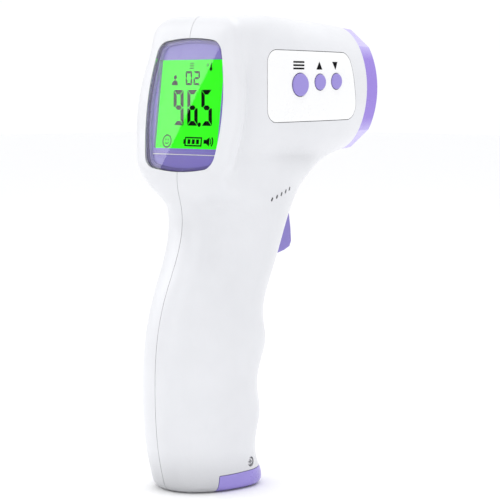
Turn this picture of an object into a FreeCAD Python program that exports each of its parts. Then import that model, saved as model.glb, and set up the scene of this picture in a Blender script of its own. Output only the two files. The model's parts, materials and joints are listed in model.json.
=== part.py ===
"""Infrared forehead thermometer with a pistol grip, as an assembly of separate pieces.

Frame: millimetres, +Z up, +Y forward towards the sensor nose, +X to the side with the buttons.
The origin is the centre of the flat base under the grip, which the instrument stands on.
"""
import FreeCAD, Part
import math
import os
import Sketcher
from FreeCAD import Placement, Rotation, Vector

doc = FreeCAD.newDocument("Thermometer")

# ---------------------------------------------------------------- driving dimensions

SIZES = {
    # casing
    "wall": 2.0,
    "grip_half_width": 17.0,
    "head_half_width": 19.6,
    "rim_half_width": 24.8,
    "nose_half_width": 15.4,
    "base_round": 2.4,
    "nose_plane": 63.0,
    "seam_gap": 0.16,
    "lip_reach": 1.4,
    "fit_gap": 0.2,
    # display window, in the plane of the screen
    "screen_tilt": 7.22,
    "screen_back": 7.8,
    "screen_middle": 123.9,
    "window_half_width": 17.7,
    "window_half_height": 21.5,
    "window_corner": 5.2,
    "lens_depth": 0.35,
    "lens_thick": 0.9,
    "tray_depth": 2.35,
    "lcd_rise": 0.55,
    "lcd_width": 31.4,
    "lcd_height": 32.6,
    "lcd_thick": 1.8,
    "light_thick": 2.4,
    "board_thick": 1.6,
    "board_depth": 8.8,
    "board_width": 31.0,
    "board_height": 41.0,
    # control panel and buttons
    "panel_thick": 1.1,
    "set_button_radius": 3.7,
    "arrow_button_radius": 2.6,
    "button_height": 130.4,
    "key_board_side": 10.6,
    # trigger
    "trigger_half_width": 5.5,
    "pivot_y": 27.8,
    "pivot_z": 86.3,
    "pin_radius": 1.0,
    # nose and sensor
    "nose_axis": 129.0,
    "ring_length": 6.8,
    "funnel_radius": 9.0,
    "barrel_radius": 7.5,
    "sensor_radius": 4.6,
    # power
    "cell_radius": 5.25,
    "cell_length": 44.5,
    "cell_side": 5.7,
    "door_height": 5.7,
    "door_rear": 6.2,
    "screw_radius": 1.0,
    "lock_y": 6.9,
    "lock_z": 8.6,
    "lead_radius": 0.6,
    # speaker
    "speaker_y": 17.9,
    "speaker_z": 96.0,
    "speaker_radius": 6.4,
}

sheet = doc.addObject("Spreadsheet::Sheet", "Size")
for row, (alias, number) in enumerate(SIZES.items(), start=1):
    sheet.set(f"A{row}", alias)
    sheet.set(f"B{row}", str(number))
    sheet.setAlias(f"B{row}", alias)
doc.recompute()


class Dim:
    """A length or angle: its value now, and the expression that keeps it bound to the sheet."""

    def __init__(self, value, text):
        self.value = value
        self.text = text

    def __add__(self, other):
        other = dim(other)
        return Dim(self.value + other.value, f"({self.text} + {other.text})")

    def __sub__(self, other):
        other = dim(other)
        return Dim(self.value - other.value, f"({self.text} - {other.text})")

    def __mul__(self, other):
        other = dim(other)
        return Dim(self.value * other.value, f"({self.text} * {other.text})")

    def __neg__(self):
        return Dim(-self.value, f"(0 - {self.text})")

    def __truediv__(self, other):
        other = dim(other)
        return Dim(self.value / other.value, f"({self.text} / {other.text})")

    def __radd__(self, other):
        return dim(other) + self

    def __rsub__(self, other):
        return dim(other) - self

    def __rmul__(self, other):
        return dim(other) * self


def dim(number):
    return number if isinstance(number, Dim) else Dim(float(number), f"{float(number):g}")


class Sheet:
    """The sheet's cells by alias, as bound lengths."""

    def __getattr__(self, alias):
        return Dim(float(getattr(sheet, alias)), f"Size.{alias}")


S = Sheet()


def bind(item, path, amount):
    """Set a property from a length, and keep it bound when the length comes from the sheet."""
    item.setExpression(path, dim(amount).text)


def place(item, base=(0, 0, 0), axis=(0, 0, 1), angle=0.0):
    """Put an item at a bound place, turned about one axis."""
    base = [dim(b) for b in base]
    item.Placement = Placement(Vector(*[b.value for b in base]), Rotation(Vector(*axis), dim(angle).value))
    for letter, amount in zip("xyz", base):
        if "Size." in amount.text:
            item.setExpression(f"Placement.Base.{letter}", amount.text)
    if "Size." in dim(angle).text:
        item.setExpression("Placement.Rotation.Angle", dim(angle).text)
    return item


ALONG_X = {"axis": (0, 1, 0), "angle": 90}
ALONG_Y = {"axis": (1, 0, 0), "angle": -90}


# ---------------------------------------------------------------- general makers

def box(name, size, base, **turn):
    item = doc.addObject("Part::Box", name)
    for path, amount in zip(("Length", "Width", "Height"), size):
        bind(item, path, amount)
    return place(item, base, **turn)


def cylinder(name, radius, length, base, **turn):
    item = doc.addObject("Part::Cylinder", name)
    bind(item, "Radius", radius)
    bind(item, "Height", length)
    return place(item, base, **turn)


def ring(name, major, minor, base, **turn):
    item = doc.addObject("Part::Torus", name)
    bind(item, "Radius1", major)
    bind(item, "Radius2", minor)
    return place(item, base, **turn)


def cut(name, base, tool):
    item = doc.addObject("Part::Cut", name)
    item.Base = base
    item.Tool = tool
    return item


def fuse(name, *pieces):
    item = doc.addObject("Part::MultiFuse", name)
    item.Shapes = list(pieces)
    return item


def common(name, *pieces):
    item = doc.addObject("Part::MultiCommon", name)
    item.Shapes = list(pieces)
    return item


def mirrored(name, source):
    """The same piece on the other side of the middle plane."""
    item = doc.addObject("Part::Mirroring", name)
    item.Source = source
    item.Normal = Vector(1, 0, 0)
    return item


def feature(name, shape):
    item = doc.addObject("Part::Feature", name)
    item.Shape = shape
    item.Placement = Placement()
    return item


def plane_of(body, role):
    for item in body.Origin.OriginFeatures:
        if item.Role == role:
            return item
    raise ValueError(role)


def rectangle(center_x, center_y, width, height):
    """Corners of an upright rectangle, anticlockwise."""
    left, right = center_x - width * 0.5, center_x + width * 0.5
    low, high = center_y - height * 0.5, center_y + height * 0.5
    return [(left, low), (right, low), (right, high), (left, high)]


def closed_outline(sketch, corners):
    """Straight edges through the corners, each corner held by two bound distances."""
    points = [Vector(dim(x).value, dim(y).value, 0) for x, y in corners]
    first = sketch.GeometryCount
    count = len(points)
    for k in range(count):
        sketch.addGeometry(Part.LineSegment(points[k], points[(k + 1) % count]), False)
    for k in range(count):
        sketch.addConstraint(
            Sketcher.Constraint("Coincident", first + k, 2, first + (k + 1) % count, 1))
    for k, corner in enumerate(corners):
        for kind, amount in zip(("DistanceX", "DistanceY"), corner):
            amount = dim(amount)
            if abs(amount.value) < 1e-9:
                axis = -2 if kind == "DistanceX" else -1
                sketch.addConstraint(Sketcher.Constraint("PointOnObject", first + k, 1, axis))
                continue
            index = sketch.addConstraint(
                Sketcher.Constraint(kind, -1, 1, first + k, 1, amount.value))
            if "Size." in amount.text:
                sketch.setExpression(f"Constraints[{index}]", amount.text)


def round_outline(sketch, center_x, center_y, radius):
    x, y, radius = dim(center_x), dim(center_y), dim(radius)
    index = sketch.addGeometry(Part.Circle(Vector(x.value, y.value, 0), Vector(0, 0, 1), radius.value))
    limits = (("Radius", (index,), radius),
              ("DistanceX", (-1, 1, index, 3), x),
              ("DistanceY", (-1, 1, index, 3), y))
    for kind, where, amount in limits:
        if kind != "Radius" and abs(amount.value) < 1e-9:
            axis = -2 if kind == "DistanceX" else -1
            sketch.addConstraint(Sketcher.Constraint("PointOnObject", index, 3, axis))
            continue
        made = sketch.addConstraint(Sketcher.Constraint(kind, *where, amount.value))
        if "Size." in amount.text:
            sketch.setExpression(f"Constraints[{made}]", amount.text)


def new_sketch(body, name, role, outlines):
    sketch = body.newObject("Sketcher::SketchObject", name)
    sketch.AttachmentSupport = [(plane_of(body, role), "")]
    sketch.MapMode = "FlatFace"
    for outline in outlines:
        if isinstance(outline, tuple):
            round_outline(sketch, *outline)
        else:
            closed_outline(sketch, outline)
    return sketch


def plate(name, outlines, thickness, base=(0, 0, 0), **turn):
    """A flat piece: outlines in the XY plane (the first is the rim, the rest are holes), then its depth."""
    body = doc.addObject("PartDesign::Body", name)
    sketch = new_sketch(body, name + "_outline", "XY_Plane", outlines)
    pad = body.newObject("PartDesign::Pad", name + "_pad")
    pad.Profile = sketch
    bind(pad, "Length", thickness)
    sketch.Visibility = False
    place(body, base, **turn)
    doc.recompute()
    return body


def turned(name, profile, base=(0, 0, 0), **turn):
    """A round piece: its half profile as (radius, height) corners, spun about its own Z axis."""
    body = doc.addObject("PartDesign::Body", name)
    sketch = new_sketch(body, name + "_profile", "XZ_Plane", [profile])
    spin = body.newObject("PartDesign::Revolution", name + "_spin")
    spin.Profile = sketch
    spin.ReferenceAxis = (sketch, ["V_Axis"])
    spin.Angle = 360
    place(body, base, **turn)
    doc.recompute()
    return body


def pocket(body, name, outlines, depth, offset=0.0, through=False):
    """Cut outlines drawn in the body's own XY plane, raised by offset, upwards through the body."""
    before = body.Shape.Volume
    sketch = new_sketch(body, name + "_outline", "XY_Plane", outlines)
    bind(sketch, "AttachmentOffset.Base.z", offset)
    cutout = body.newObject("PartDesign::Pocket", name)
    cutout.Profile = sketch
    cutout.Reversed = True
    if through:
        cutout.Type = 1
    else:
        bind(cutout, "Length", depth)
    doc.recompute()
    if body.Shape.Volume > before - 1e-6:
        raise ValueError(name + " cuts nothing")
    return body


def round_over(body, radius, chosen):
    """Round the edges of the body that the test picks."""
    doc.recompute()
    last = body.Tip
    names = [f"Edge{k + 1}" for k, edge in enumerate(body.Shape.Edges) if chosen(edge)]
    fillet = body.newObject("PartDesign::Fillet", body.Name + "_round")
    fillet.Base = (last, names)
    bind(fillet, "Radius", radius)
    doc.recompute()
    return body


# ---------------------------------------------------------------- casing form

def spline(points):
    """Natural cubic spline through (t, value) points, straight beyond its ends."""
    count = len(points)
    t = [p[0] for p in points]
    v = [p[1] for p in points]
    gap = [t[k + 1] - t[k] for k in range(count - 1)]
    bend = [0.0] * count
    low = [0.0] * count
    part = [0.0] * count
    for k in range(1, count - 1):
        rise = 3 * ((v[k + 1] - v[k]) / gap[k] - (v[k] - v[k - 1]) / gap[k - 1])
        main = 2 * (t[k + 1] - t[k - 1]) - gap[k - 1] * low[k - 1]
        low[k] = gap[k] / main
        part[k] = (rise - gap[k - 1] * part[k - 1]) / main
    for k in range(count - 2, -1, -1):
        bend[k] = part[k] - low[k] * bend[k + 1]

    def slope(k):
        return (v[k + 1] - v[k]) / gap[k] - gap[k] * (bend[k + 1] + 2 * bend[k]) / 3

    last = slope(count - 2) + gap[-1] * (bend[count - 2] + bend[count - 1])

    def value(x):
        if x <= t[0]:
            return v[0] + slope(0) * (x - t[0])
        if x >= t[-1]:
            return v[-1] + last * (x - t[-1])
        k = max(i for i in range(count - 1) if t[i] <= x)
        s = x - t[k]
        return v[k] + slope(k) * s + bend[k] * s * s + (bend[k + 1] - bend[k]) / (3 * gap[k]) * s ** 3

    return value


def blend(x, start, end):
    """0 before start, 1 after end, smooth between."""
    k = min(1.0, max(0.0, (x - start) / (end - start)))
    return k * k * (3 - 2 * k)


# Side profile: how far back and forward the casing reaches at each height, and its top line.
REAR = spline([(0, -16.2), (9.5, -18.8), (20, -20.3), (31, -20.8), (43, -20.5), (54, -18.9), (65, -15.4),
               (75, -11.2), (84, -8.9), (91, -9.1), (97, -10.6), (103, -10.9), (112, -9.6), (130, -7.2),
               (150, -4.6)])
FRONT = spline([(0, 19.2), (3, 19.2), (6, 18.4), (9, 17.0), (14, 15.9), (25, 17.6), (34, 16.4), (47, 20.6),
                (56, 20.0), (66, 23.1), (76, 27.5), (84, 30.9), (90, 33.9), (95, 37.7), (100, 43.7),
                (104, 50.4), (107, 59), (109.5, 70)])
TOP = spline([(-10, 151.6), (6, 152.6), (22, 153.1), (36, 152.8), (51, 151.8), (64, 150.5)])

# Half widths, as fractions of the grip's, head's and screen rim's driving half widths.
GRIP_WIDTH = spline([(0, 0.895), (15, 0.965), (35, 1.0), (60, 0.94), (80, 0.953), (95, 0.976)])
HEAD_WIDTH = spline([(-6, 1.02), (8, 1.0), (30, 0.99), (50, 0.918), (63, 0.786)])
RIM_WIDTH = spline([(97, 0.484), (100, 0.706), (104, 0.863), (110, 0.943), (115, 0.98), (121, 1.0), (128, 0.98),
                    (134, 0.928), (140, 0.84), (146, 0.766), (150, 0.665), (153, 0.524)])

# Corner radii: back of the grip, front and underside, and top.
GRIP_REAR_ROUND = spline([(0, 20), (35, 21.5), (65, 21), (85, 19), (100, 18)])
FRONT_ROUND = spline([(0, 12), (60, 13), (85, 15), (98, 18), (108, 21)])
TOP_ROUND = spline([(-10, 7), (5, 8), (20, 13), (40, 17), (64, 21.6)])
RIM_ROUND = 3.6

# The grip is cut by level planes up to the turning point, the head by planes that fan out from it.
TURN_Y = 56.0
TURN_Z = 68.0
GRIP_STEP = 3.4
FAN_PLANES = 58
ROW_POINTS = 76


def local_form(y, z):
    """Half width, squareness and the three edge distances with their corner radii."""
    behind = y - REAR(z)
    in_head = blend(z, 82, 120)
    grip = SIZES["grip_half_width"] * GRIP_WIDTH(min(z, 95))
    head = SIZES["head_half_width"] * HEAD_WIDTH(y)
    half = grip * (1 - in_head) + head * in_head
    rim = blend(z, 91, 101)
    if z > 90:
        more = SIZES["rim_half_width"] * RIM_WIDTH(max(z, 97)) - half
        more = 0.5 * (more + math.sqrt(more * more + 2.0))
        half += more * (1 - blend(behind, 2.0, 9.5)) * rim
    rear_round = GRIP_REAR_ROUND(min(z, 100)) * (1 - rim) + RIM_ROUND * rim
    lean = (FRONT(z + 0.05) - FRONT(z - 0.05)) / 0.1
    ahead = (FRONT(z) - y) / math.sqrt(1 + lean * lean)
    near = 1 - blend(behind, 3, 40)
    square = 2.3 + (4.7 * near - 0.2) * rim
    edges = ((behind, rear_round), (ahead, FRONT_ROUND(min(z, 108))), (TOP(y) - z, TOP_ROUND(y)))
    return half, square, edges


def inside(x, y, z, inset):
    """Negative inside the casing form shrunk by inset, positive outside."""
    base = SIZES["base_round"]
    if z < base:
        inset += base - math.sqrt(max(0.0, base ** 2 - (base - z) ** 2))
    half, square, edges = local_form(y, z)
    total = (abs(x) / (half - inset)) ** square
    for distance, radius in edges:
        k = 1 - (distance - inset) / (radius - inset)
        if k > 0:
            total += k * k
    return total - 1


def crossing(test, low, high):
    """Where a rising test passes zero, by halving and then by secants held inside the bracket."""
    at_low, at_high = test(low), test(high)
    for turn in range(60):
        if turn < 4 or at_high == at_low:
            middle = (low + high) / 2
        else:
            middle = low - at_low * (high - low) / (at_high - at_low)
        value = test(middle)
        if abs(value) < 1e-9 or high - low < 1e-7:
            return middle
        if value > 0:
            high, at_high, at_low = middle, value, at_low / (1 if turn < 4 else 2)
        else:
            low, at_low, at_high = middle, value, at_high / (1 if turn < 4 else 2)
    return (low + high) / 2


def row_of_points(base, direction, inset, count=ROW_POINTS):
    """One half section, evenly spaced, from the front round the +X side to the back."""
    def at(x, along):
        return inside(x, base[0] + direction[0] * along, base[1] + direction[1] * along, inset)

    within = [k for k in range(-80, 130) if at(0.0, float(k)) < 0]
    front = crossing(lambda k: at(0.0, within[0] - k), 0.0, 1.0)
    back = crossing(lambda k: at(0.0, within[-1] + k), 0.0, 1.0)
    start, end = within[0] - front, within[-1] + back
    middle, reach = (start + end) / 2, (end - start) / 2
    wide = crossing(lambda x: at(x, middle), 0.0, 40.0)

    def point(turn):
        side, along = wide * math.sin(turn), -reach * math.cos(turn)
        k = crossing(lambda s: at(side * s, middle + along * s), 0.5, 1.6)
        spot = middle + along * k
        return Vector(side * k, base[0] + direction[0] * spot, base[1] + direction[1] * spot)

    rough = [math.pi * k / 64 for k in range(65)]
    trial = [point(turn) for turn in rough]
    length = [0.0]
    for k in range(64):
        length.append(length[-1] + (trial[k + 1] - trial[k]).Length)
    points = []
    spot = 0
    for k in range(count):
        wanted = length[-1] * k / (count - 1)
        while spot < 63 and length[spot + 1] < wanted:
            spot += 1
        share = (wanted - length[spot]) / (length[spot + 1] - length[spot])
        points.append(point(rough[spot] + share * (rough[spot + 1] - rough[spot])))
    points[0].x = 0.0
    points[-1].x = 0.0
    return points


def casing_stations(low, high):
    """Base point and direction, in the YZ plane, of each cutting plane from the base to the nose."""
    base = SIZES["base_round"]
    rows = []
    if low < base:
        first = math.asin((base - low) / base)
        for k in range(6):
            rows.append(((0.0, base * (1 - math.sin(first * (1 - k / 6)))), (-1.0, 0.0)))
    z = max(low, base)
    while z < TURN_Z - 1:
        rows.append(((0.0, z), (-1.0, 0.0)))
        z += GRIP_STEP
    for k in range(FAN_PLANES + 1):
        angle = math.pi / 2 * k / FAN_PLANES
        rows.append(((TURN_Y, TURN_Z), (-math.cos(angle), math.sin(angle))))
    rest = (high - TURN_Y) / 3
    for k in range(1, 4):
        rows.append(((TURN_Y + rest * k, TURN_Z), (0.0, 1.0)))
    return rows


def smooth_through(points, where, start=None, end=None):
    curve = Part.BSplineCurve()
    if start is None:
        curve.interpolate(Points=points, Parameters=where)
    else:
        curve.interpolate(Points=points, Parameters=where, InitialTangent=start, FinalTangent=end, Scale=False)
    return curve


def skin(rows):
    """One smooth surface through rows of points, square to the middle plane at both ends of each row."""
    count = len(rows[0])
    along = [k / (count - 1) for k in range(count)]
    poles = []
    for row in rows:
        start = Vector(row[1].x * (count - 1), 0, 0)
        end = Vector(-row[-2].x * (count - 1), 0, 0)
        curve = smooth_through(row, along, start, end)
        poles.append(curve.getPoles())
    across = [0.0]
    for k in range(len(rows) - 1):
        gaps = [(rows[k + 1][i] - rows[k][i]).Length for i in range(0, count, 5)]
        across.append(across[-1] + sum(gaps) / len(gaps))
    across = [value / across[-1] for value in across]
    columns = [smooth_through([row[i] for row in poles], across) for i in range(len(poles[0]))]
    grid = [column.getPoles() for column in columns]
    surface = Part.BSplineSurface()
    surface.buildFromPolesMultsKnots(
        grid, curve.getMultiplicities(), columns[0].getMultiplicities(), curve.getKnots(),
        columns[0].getKnots(), False, False, columns[0].Degree, curve.Degree)
    return surface


def half_solid(rows):
    """Solid on the +X side between the middle plane and the skin through the rows, capped at both ends."""
    face = skin(rows).toShape()

    def side(test):
        return [edge for edge in face.Edges
                if all(test(edge.valueAt(edge.FirstParameter + k * (edge.LastParameter - edge.FirstParameter) / 4))
                       for k in range(5))]

    seams = side(lambda p: abs(p.x) < 1e-5)
    ends = [edge for edge in face.Edges if not any(edge.isSame(seam) for seam in seams)]
    lines = [Part.makeLine(edge.Vertexes[0].Point, edge.Vertexes[-1].Point) for edge in ends]
    caps = [Part.Face(Part.Wire([edge, line])) for edge, line in zip(ends, lines)]
    middle = Part.Face(Part.Wire(Part.__sortEdges__(seams + lines)))
    shell = Part.makeShell([face, middle] + caps)
    shell.sewShape()
    solid = Part.makeSolid(shell)
    if solid.Volume < 0:
        solid.reverse()
    return solid


def casing_half(inset, low, high):
    return half_solid([row_of_points(base, direction, inset) for base, direction in casing_stations(low, high)])


# ---------------------------------------------------------------- casing halves

NOSE = SIZES["nose_plane"]
WALL = SIZES["wall"]

outer_half = feature("outer_half", casing_half(0.0, 0.0, NOSE))
inner_half = feature("inner_half", casing_half(WALL, WALL, NOSE + 1))
panel_floor = feature("panel_floor", casing_half(SIZES["panel_thick"], 0.5, NOSE + 0.5))
lip_form = feature("lip_form", casing_half(WALL / 2 + 0.06, WALL / 2, NOSE + 0.5))

SCREEN = {"base": (0, -S.screen_back, S.screen_middle), "axis": (1, 0, 0), "angle": -S.screen_tilt}


def barrel_block(inset, near, far):
    """Block with the display window's outline, in the screen's own frame: X across, Y inwards, Z up."""
    half_w = SIZES["window_half_width"] - inset
    half_h = SIZES["window_half_height"] - inset
    top_w, low_w = half_w - 3.7, half_w - 2.3
    top_z, low_z = half_h - 1.4, -half_h + 1.6
    corners = [Vector(-low_w, near, low_z), Vector(low_w, near, low_z),
               Vector(top_w, near, top_z), Vector(-top_w, near, top_z)]
    swells = [Vector(0, near, -half_h), Vector(half_w, near, -3.5),
              Vector(0, near, half_h), Vector(-half_w, near, -3.5)]
    edges = []
    for k in range(4):
        edges.append(Part.Arc(corners[k], swells[k], corners[(k + 1) % 4]).toShape())
    block = Part.Face(Part.Wire(edges)).extrude(Vector(0, far - near, 0))
    upright = [edge for edge in block.Edges
               if abs(edge.Vertexes[0].X - edge.Vertexes[-1].X) < 1e-6
               and abs(edge.Vertexes[0].Z - edge.Vertexes[-1].Z) < 1e-6
               and len(edge.Vertexes) == 2]
    return block.makeFillet(SIZES["window_corner"] - inset, upright)


def screen_piece(name, shape):
    item = doc.addObject("Part::Feature", name)
    item.Shape = shape
    return place(item, **SCREEN)


def prism_along_x(name, outline, low, high, corner):
    """Block with a straight-sided outline in the YZ plane and rounded corners, from x = low to x = high."""
    points = [Vector(low, y, z) for y, z in outline]
    block = Part.Face(Part.makePolygon(points + points[:1])).extrude(Vector(high - low, 0, 0))
    ends = [edge for edge in block.Edges
            if abs(edge.Vertexes[0].Y - edge.Vertexes[-1].Y) < 1e-6
            and abs(edge.Vertexes[0].Z - edge.Vertexes[-1].Z) < 1e-6]
    return feature(name, block.makeFillet(corner, ends))


def shrunk(outline, gap):
    """The outline moved in by gap towards its middle on both axes."""
    middle_y = sum(p[0] for p in outline) / len(outline)
    middle_z = sum(p[1] for p in outline) / len(outline)
    return [(y - math.copysign(gap, y - middle_y), z - math.copysign(gap, z - middle_z)) for y, z in outline]


GAP = SIZES["fit_gap"]
PANEL = [(10.2, 118.1), (57.0, 118.8), (52.6, 141.3), (10.2, 141.7)]
PANEL_CORNER = 4.2
BUTTONS = {
    "set": (25.6, 0.0, "set_button_radius"),
    "up": (35.3, 0.9, "arrow_button_radius"),
    "down": (43.7, 1.2, "arrow_button_radius"),
}
SCREW_POSTS = ((6.5, 62.5), (8.6, 108.6), (24.0, 145.2), (47.0, 111.2), (-11.0, 13.0))
SLOTS = [(14.9 + 2.32 * k, 93.5 + 0.77 * k) for k in range(5)]
SLOT_LEAN = 20.0
DOOR = [(-SIZES["door_rear"], -1.0), (30.0, -1.0),
        (30.0, SIZES["door_height"] + 1.1), (-SIZES["door_rear"], SIZES["door_height"] - 0.1)]

window = screen_piece("window", barrel_block(0.0, -6.0, 4.4))
mouth = box("trigger_mouth", (S.trigger_half_width * 2 + 0.6, 24, 15.6),
            (-S.trigger_half_width - 0.3, 20, 73.7))
door_notch = prism_along_x("door_notch", DOOR, -30.0, 30.0, 0.3)
shell_tools = [window, mouth, door_notch]

# Shell, its hidden lip along the parting line, and the posts that take the casing screws.
shell = cut("shell_half", outer_half, inner_half)
edge_slab = box("edge_slab", (S.lip_reach, 200, 200), (0, -60, -10))
edge_gap = box("edge_gap", (S.seam_gap / 2, 200, 200), (0, -60, -10))
lip_shell = cut("lip_shell", lip_form, inner_half)
lip_half = common("lip_half", lip_shell, edge_slab)


def post(name, y, z, radius, low, high):
    return cylinder(name, radius, high - low, (low, y, z), **ALONG_X)


post_rods = fuse("post_rods", *[post(f"post_rod_{k}", y, z, 3.0, 0.0, 30.0)
                                for k, (y, z) in enumerate(SCREW_POSTS)])
posts_half = common("posts_half", post_rods, outer_half)
trigger_ear = common("trigger_ear", post("ear_rod", S.pivot_y, S.pivot_z, 2.6, 6.0, 14.0), outer_half)
rails = [box(f"rail_{k}", (14, 1.05, 18), (6.8, y, 69)) for k, y in enumerate((10.7, 13.65))]
board_rails = common("board_rails", fuse("rail_pair", *rails), outer_half)
shell_with_posts = fuse("shell_with_posts", shell, posts_half, trigger_ear, board_rails)
pin_way = cylinder("pin_way", S.pin_radius + 0.03, 15.2, (-7.6, S.pivot_y, S.pivot_z), **ALONG_X)

# Left half: screw heads sink into it. Right half: lip, panel seat, button holes, sound slots, lock screw.
left_form = cut("left_form", shell_with_posts, edge_gap)
left_side = mirrored("left_side", left_form)
lip_room = box("lip_room", (S.lip_reach + 0.2, 200, 200), (-S.lip_reach - 0.2, -60, -10))
lip_seat_form = feature("lip_seat_form", casing_half(WALL / 2 - 0.06, WALL / 2 - 0.12, NOSE + 0.5))
lip_seat_shell = cut("lip_seat_shell", lip_seat_form, inner_half)
lip_seat = common("lip_seat", mirrored("lip_seat_side", lip_seat_shell), lip_room)
screw_ways = [cylinder(f"screw_way_{k}", S.screw_radius + 0.15, 30, (-20, y, z), **ALONG_X)
              for k, (y, z) in enumerate(SCREW_POSTS)]
head_wells = [cylinder(f"head_well_{k}", 2.4, 30, (-36, y, z), **ALONG_X)
              for k, (y, z) in enumerate(SCREW_POSTS)]
left_tools = fuse("left_tools", lip_seat, pin_way, *(shell_tools + screw_ways + head_wells))
left_casing = cut("left_casing", left_side, left_tools)

right_form = cut("right_form", shell_with_posts, edge_gap)
speaker_wall = cut("speaker_wall", post("speaker_rod", S.speaker_y, S.speaker_z, 7.9, 11.5, 16.2),
                   post("speaker_room", S.speaker_y, S.speaker_z, 6.9, 11.0, 17.0))
speaker_seat = common("speaker_seat", speaker_wall, outer_half)
key_posts = [post(f"key_post_{k}", y, z, 1.6, S.key_board_side, reach)
             for k, (y, z, reach) in enumerate(((20.6, 125.6, 17.8), (47.2, 125.6, 16.9), (30.5, 136.6, 17.6)))]
lock_boss = common("lock_boss", post("lock_rod", S.lock_y, S.lock_z, 2.7, 12.6, 16.0), outer_half)
right_body = fuse("right_body", right_form, lip_half, mirrored("lip_side", lip_half), speaker_seat, lock_boss,
                  *key_posts)
panel_block = prism_along_x("panel_block", PANEL, 5.0, 30.0, PANEL_CORNER)
panel_seat = cut("panel_seat", panel_block, panel_floor)
threads = [cylinder(f"thread_{k}", S.screw_radius + 0.02, 16, (-6, y, z), **ALONG_X)
           for k, (y, z) in enumerate(SCREW_POSTS)]
button_ways = [cylinder(f"{name}_way", getattr(S, radius) + 0.45, 12,
                        (12, y, S.button_height + rise), **ALONG_X)
               for name, (y, rise, radius) in BUTTONS.items()]
LEAN_SIN = math.sin(math.radians(SLOT_LEAN))
LEAN_COS = math.cos(math.radians(SLOT_LEAN))
sound_slots = []
for k, (y, z) in enumerate(SLOTS):
    slot_body = box(f"slot_box_{k}", (12, 0.8, 0.64), (10, y - 0.4 * LEAN_COS - 0.32 * LEAN_SIN,
                                                       z + 0.4 * LEAN_SIN - 0.32 * LEAN_COS),
                    axis=(1, 0, 0), angle=-SLOT_LEAN)
    slot_ends = [cylinder(f"slot_end_{k}_{side + 1}", 0.4, 12,
                          (10, y + side * 0.32 * LEAN_SIN, z + side * 0.32 * LEAN_COS), **ALONG_X)
                 for side in (-1, 1)]
    sound_slots.append(fuse(f"sound_slot_{k}", slot_body, *slot_ends))
lock_way = cylinder("lock_way", S.screw_radius + 0.2, 20, (8, S.lock_y, S.lock_z), **ALONG_X)
lock_well = cylinder("lock_well", 1.65, 12, (13.9, S.lock_y, S.lock_z), **ALONG_X)
right_tools = fuse("right_tools", panel_seat, lock_way, lock_well, pin_way,
                   *(shell_tools + threads + button_ways + sound_slots))
right_casing = cut("right_casing", right_body, right_tools)
doc.recompute()


# ---------------------------------------------------------------- display stack

COS = Dim(math.cos(math.radians(SIZES["screen_tilt"])), "cos(Size.screen_tilt * 1 deg)")
SIN = Dim(math.sin(math.radians(SIZES["screen_tilt"])), "sin(Size.screen_tilt * 1 deg)")


def on_screen(across, deep, up):
    """A place given across the screen, deep behind its face, and up along it."""
    return (dim(across), -S.screen_back + COS * deep + SIN * up, S.screen_middle - SIN * deep + COS * up)


def screen_plate(name, outlines, thickness, deep, up=0.0, across=0.0):
    """A plate parallel to the screen whose back is deep behind the screen's face."""
    return plate(name, outlines, thickness, on_screen(across, deep, up), axis=(1, 0, 0), angle=90 - S.screen_tilt)


LENS_BACK = SIZES["lens_depth"] + SIZES["lens_thick"]
TRAY = SIZES["tray_depth"]
LCD_OPENING = (29.6, 28.6)

display_lens = screen_piece("display_lens", barrel_block(0.15, SIZES["lens_depth"], LENS_BACK))
gasket_form = barrel_block(0.2, LENS_BACK + 0.02, LENS_BACK + 0.3)
lens_gasket = screen_piece("lens_gasket", gasket_form.cut(barrel_block(0.5, LENS_BACK - 1, LENS_BACK + 1)))


def tray_posts(radius, near, far):
    rods = [Part.makeCylinder(radius, far - near, Vector(x, near, z), Vector(0, 1, 0))
            for x in (-10.5, 10.5) for z in (-19.0, 19.0)]
    return rods[0].multiFuse(rods[1:])


def bezel_shape():
    """Open tray: a rim under the lens, a floor with the display's opening, and four screw posts behind."""
    front = LENS_BACK + 0.32
    rim = barrel_block(0.2, front, TRAY + 0.8)
    hollow = barrel_block(1.3, front - 1, TRAY)
    width, height = LCD_OPENING
    opening = Part.makeBox(width, 6, height, Vector(-width / 2, TRAY - 2, SIZES["lcd_rise"] - height / 2))
    posts = tray_posts(1.9, TRAY + 0.4, SIZES["board_depth"])
    bores = tray_posts(0.82, TRAY + 1.6, SIZES["board_depth"] + 1)
    return rim.cut(hollow).fuse(posts).cut(opening).cut(bores).removeSplitter()


display_bezel = screen_piece("display_bezel", bezel_shape())

lcd_back = S.tray_depth + 0.85 + S.lcd_thick
lcd_glass = screen_plate("lcd_glass", [rectangle(0, 0, S.lcd_width, S.lcd_height)], S.lcd_thick, lcd_back,
                         up=S.lcd_rise)
light_back = lcd_back + 0.05 + S.light_thick - 0.6
backlight_plate = screen_plate("backlight_plate", [rectangle(0, 1.0, S.lcd_width, S.lcd_height - 2.4)],
                               S.light_thick - 0.6, light_back, up=S.lcd_rise)
zebra_strip = screen_plate("zebra_strip", [rectangle(0, -14.9, 26, 1.6)], S.board_depth - lcd_back - 0.06,
                           S.board_depth - 0.03)
board_holes = [(x, z, 1.05) for x in (-10.5, 10.5) for z in (-19.0, 19.0)]
main_board = screen_plate("main_board", [rectangle(0, 0, S.board_width, S.board_height)] + board_holes,
                          S.board_thick, S.board_depth + S.board_thick)
board_back = S.board_depth + S.board_thick
processor_chip = screen_plate("processor_chip", [rectangle(0, 8.0, 10, 10)], 1.4, board_back + 1.4)
memory_chip = screen_plate("memory_chip", [rectangle(-9.0, -6.0, 5, 4)], 1.2, board_back + 1.2)
screen_plate("ribbon_socket", [rectangle(9.75, 6.0, 3.2, 8.0)], 2.2, board_back + 2.2)
crystal_can = screen_plate("crystal_can", [rectangle(0, -3.0, 8.0, 3.0)], 2.0, board_back + 2.0)
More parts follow.
